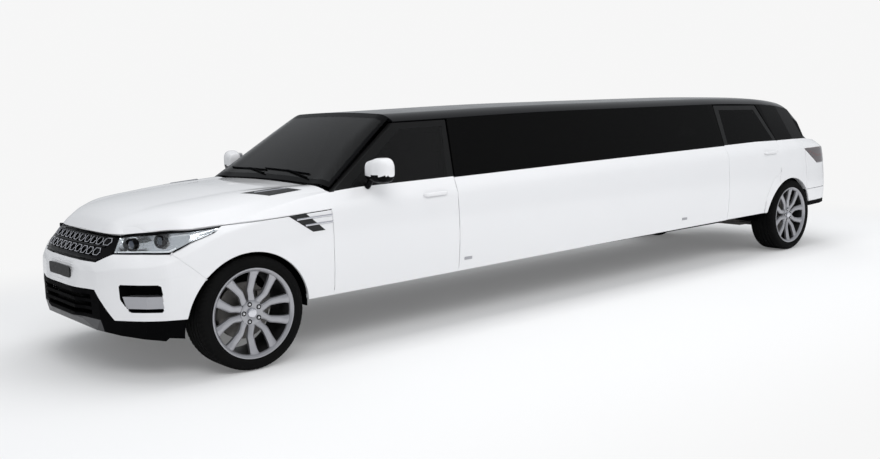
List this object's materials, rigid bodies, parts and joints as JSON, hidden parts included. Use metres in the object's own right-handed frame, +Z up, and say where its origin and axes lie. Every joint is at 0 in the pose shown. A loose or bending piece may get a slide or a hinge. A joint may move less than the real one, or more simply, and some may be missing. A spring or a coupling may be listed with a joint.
{
  "type": "stretch limousine",
  "caption": "Stretched sport utility limousine with a long windowed body, opening doors, bonnet and tailgate, steered front wheels and a hollow driver cabin and lounge.",
  "frame": {"origin": "middle of the overall length and width, on the ground under the tyres", "axes": "+X forward, +Y to the vehicle's left, +Z up"},
  "size_m": [8.507, 2.3008, 1.6719],
  "materials": {
    "white_paint": "gloss white paint",
    "black_paint": "gloss black paint",
    "dark_trim": "dark plastic",
    "gloss_black": "gloss black plastic",
    "tinted_glass": "dark tinted glass",
    "clear_glass": "lightly tinted glass",
    "lamp_lens": "clear lamp lens",
    "tail_lens": "red lamp lens",
    "alloy": "grey machined alloy",
    "tyre_rubber": "black rubber",
    "skid_silver": "satin silver paint",
    "chassis_steel": "black chassis coating",
    "cast_metal": "bare cast metal",
    "bare_steel": "plain steel",
    "black_leather": "black leather",
    "floor_coating": "dark floor coating",
    "cabinet_wood": "dark veneer"
  },
  "bodies": {
    "body": {"chassis_frame": "chassis_steel", "floor_pan": "floor_coating", "firewall": "floor_coating", "sills": "white_paint", "pillars": "gloss_black", "cant_rails": "black_paint", "cowl": "dark_trim", "roof_panel": "black_paint", "front_wings": "white_paint", "stretch_panels": "white_paint", "quarter_panels": "white_paint", "windscreen": "clear_glass", "side_windows": "tinted_glass", "quarter_windows": "tinted_glass", "front_bumper": "white_paint", "lower_bumper": "dark_trim", "front_grille": "gloss_black", "head_lamps": "lamp_lens", "fog_lamps": "lamp_lens", "skid_plate": "skid_silver", "rear_bumper": "dark_trim", "tail_lamps": "tail_lens", "arch_liners": "dark_trim", "front_suspension": "cast_metal", "rear_axle": "cast_metal", "engine_block": "cast_metal", "propshaft": "bare_steel", "exhaust": "bare_steel", "fuel_tank": "dark_trim", "dashboard": "dark_trim", "steering_wheel": "black_leather", "front_seats": "black_leather", "partition": "dark_trim", "lounge_seat": "black_leather", "bar_cabinet": "cabinet_wood"},
    "steered_hub_left": {"knuckle_left": "cast_metal"},
    "road_wheel_front_left": {"wheel_front_left": "alloy", "tyre_front_left": "tyre_rubber"},
    "road_wheel_rear_left": {"wheel_rear_left": "alloy", "tyre_rear_left": "tyre_rubber"},
    "front_door_body_left": {"front_door_left": "white_paint", "front_door_glass_left": "clear_glass", "door_mirror_left": "white_paint"},
    "rear_door_body_left": {"rear_door_left": "white_paint", "rear_door_glass_left": "tinted_glass"},
    "steered_hub_right": {"knuckle_right": "cast_metal"},
    "road_wheel_front_right": {"wheel_front_right": "alloy", "tyre_front_right": "tyre_rubber"},
    "road_wheel_rear_right": {"wheel_rear_right": "alloy", "tyre_rear_right": "tyre_rubber"},
    "front_door_body_right": {"front_door_right": "white_paint", "front_door_glass_right": "clear_glass", "door_mirror_right": "white_paint"},
    "rear_door_body_right": {"rear_door_right": "white_paint", "rear_door_glass_right": "tinted_glass"},
    "bonnet_lid": {"bonnet": "white_paint"},
    "tailgate_lid": {"tailgate": "white_paint", "tailgate_glass": "tinted_glass"}
  },
  "joints": [
    {"name": "steer_left", "type": "hinge", "parent": "body", "child": "steered_hub_left", "pos_m": [3.3645, 0.76, 0.378], "axis": [0, 0, 1], "range_deg": [-33, 33]},
    {"name": "spin_front_left", "type": "hinge", "parent": "steered_hub_left", "child": "road_wheel_front_left", "pos_m": [3.3645, 0.845, 0.378], "axis": [0, 1, 0], "continuous": true},
    {"name": "spin_rear_left", "type": "hinge", "parent": "body", "child": "road_wheel_rear_left", "pos_m": [-3.2155, 0.845, 0.378], "axis": [0, 1, 0], "continuous": true},
    {"name": "front_door_swing_left", "type": "hinge", "parent": "body", "child": "front_door_body_left", "pos_m": [2.6345, 0.95, 0.75], "axis": [0, 0, -1], "range_deg": [0, 65]},
    {"name": "rear_door_swing_left", "type": "hinge", "parent": "body", "child": "rear_door_body_left", "pos_m": [-2.1285, 0.95, 0.75], "axis": [0, 0, -1], "range_deg": [0, 65]},
    {"name": "steer_right", "type": "hinge", "parent": "body", "child": "steered_hub_right", "pos_m": [3.3645, -0.76, 0.378], "axis": [0, 0, 1], "range_deg": [-33, 33]},
    {"name": "spin_front_right", "type": "hinge", "parent": "steered_hub_right", "child": "road_wheel_front_right", "pos_m": [3.3645, -0.845, 0.378], "axis": [0, 1, 0], "continuous": true},
    {"name": "spin_rear_right", "type": "hinge", "parent": "body", "child": "road_wheel_rear_right", "pos_m": [-3.2155, -0.845, 0.378], "axis": [0, 1, 0], "continuous": true},
    {"name": "front_door_swing_right", "type": "hinge", "parent": "body", "child": "front_door_body_right", "pos_m": [2.6345, -0.95, 0.75], "axis": [0, 0, 1], "range_deg": [0, 65]},
    {"name": "rear_door_swing_right", "type": "hinge", "parent": "body", "child": "rear_door_body_right", "pos_m": [-2.1285, -0.95, 0.75], "axis": [0, 0, 1], "range_deg": [0, 65]},
    {"name": "bonnet_lift", "type": "hinge", "parent": "body", "child": "bonnet_lid", "pos_m": [2.7165, 0, 1.108], "axis": [0, -1, 0], "range_deg": [0, 45]},
    {"name": "tailgate_lift", "type": "hinge", "parent": "body", "child": "tailgate_lid", "pos_m": [-3.6655, 0, 1.598], "axis": [0, 1, 0], "range_deg": [0, 75]}
  ],
  "couplings": [
    {"joint": "steer_right", "follows": "steer_left", "ratio": 1}
  ]
}
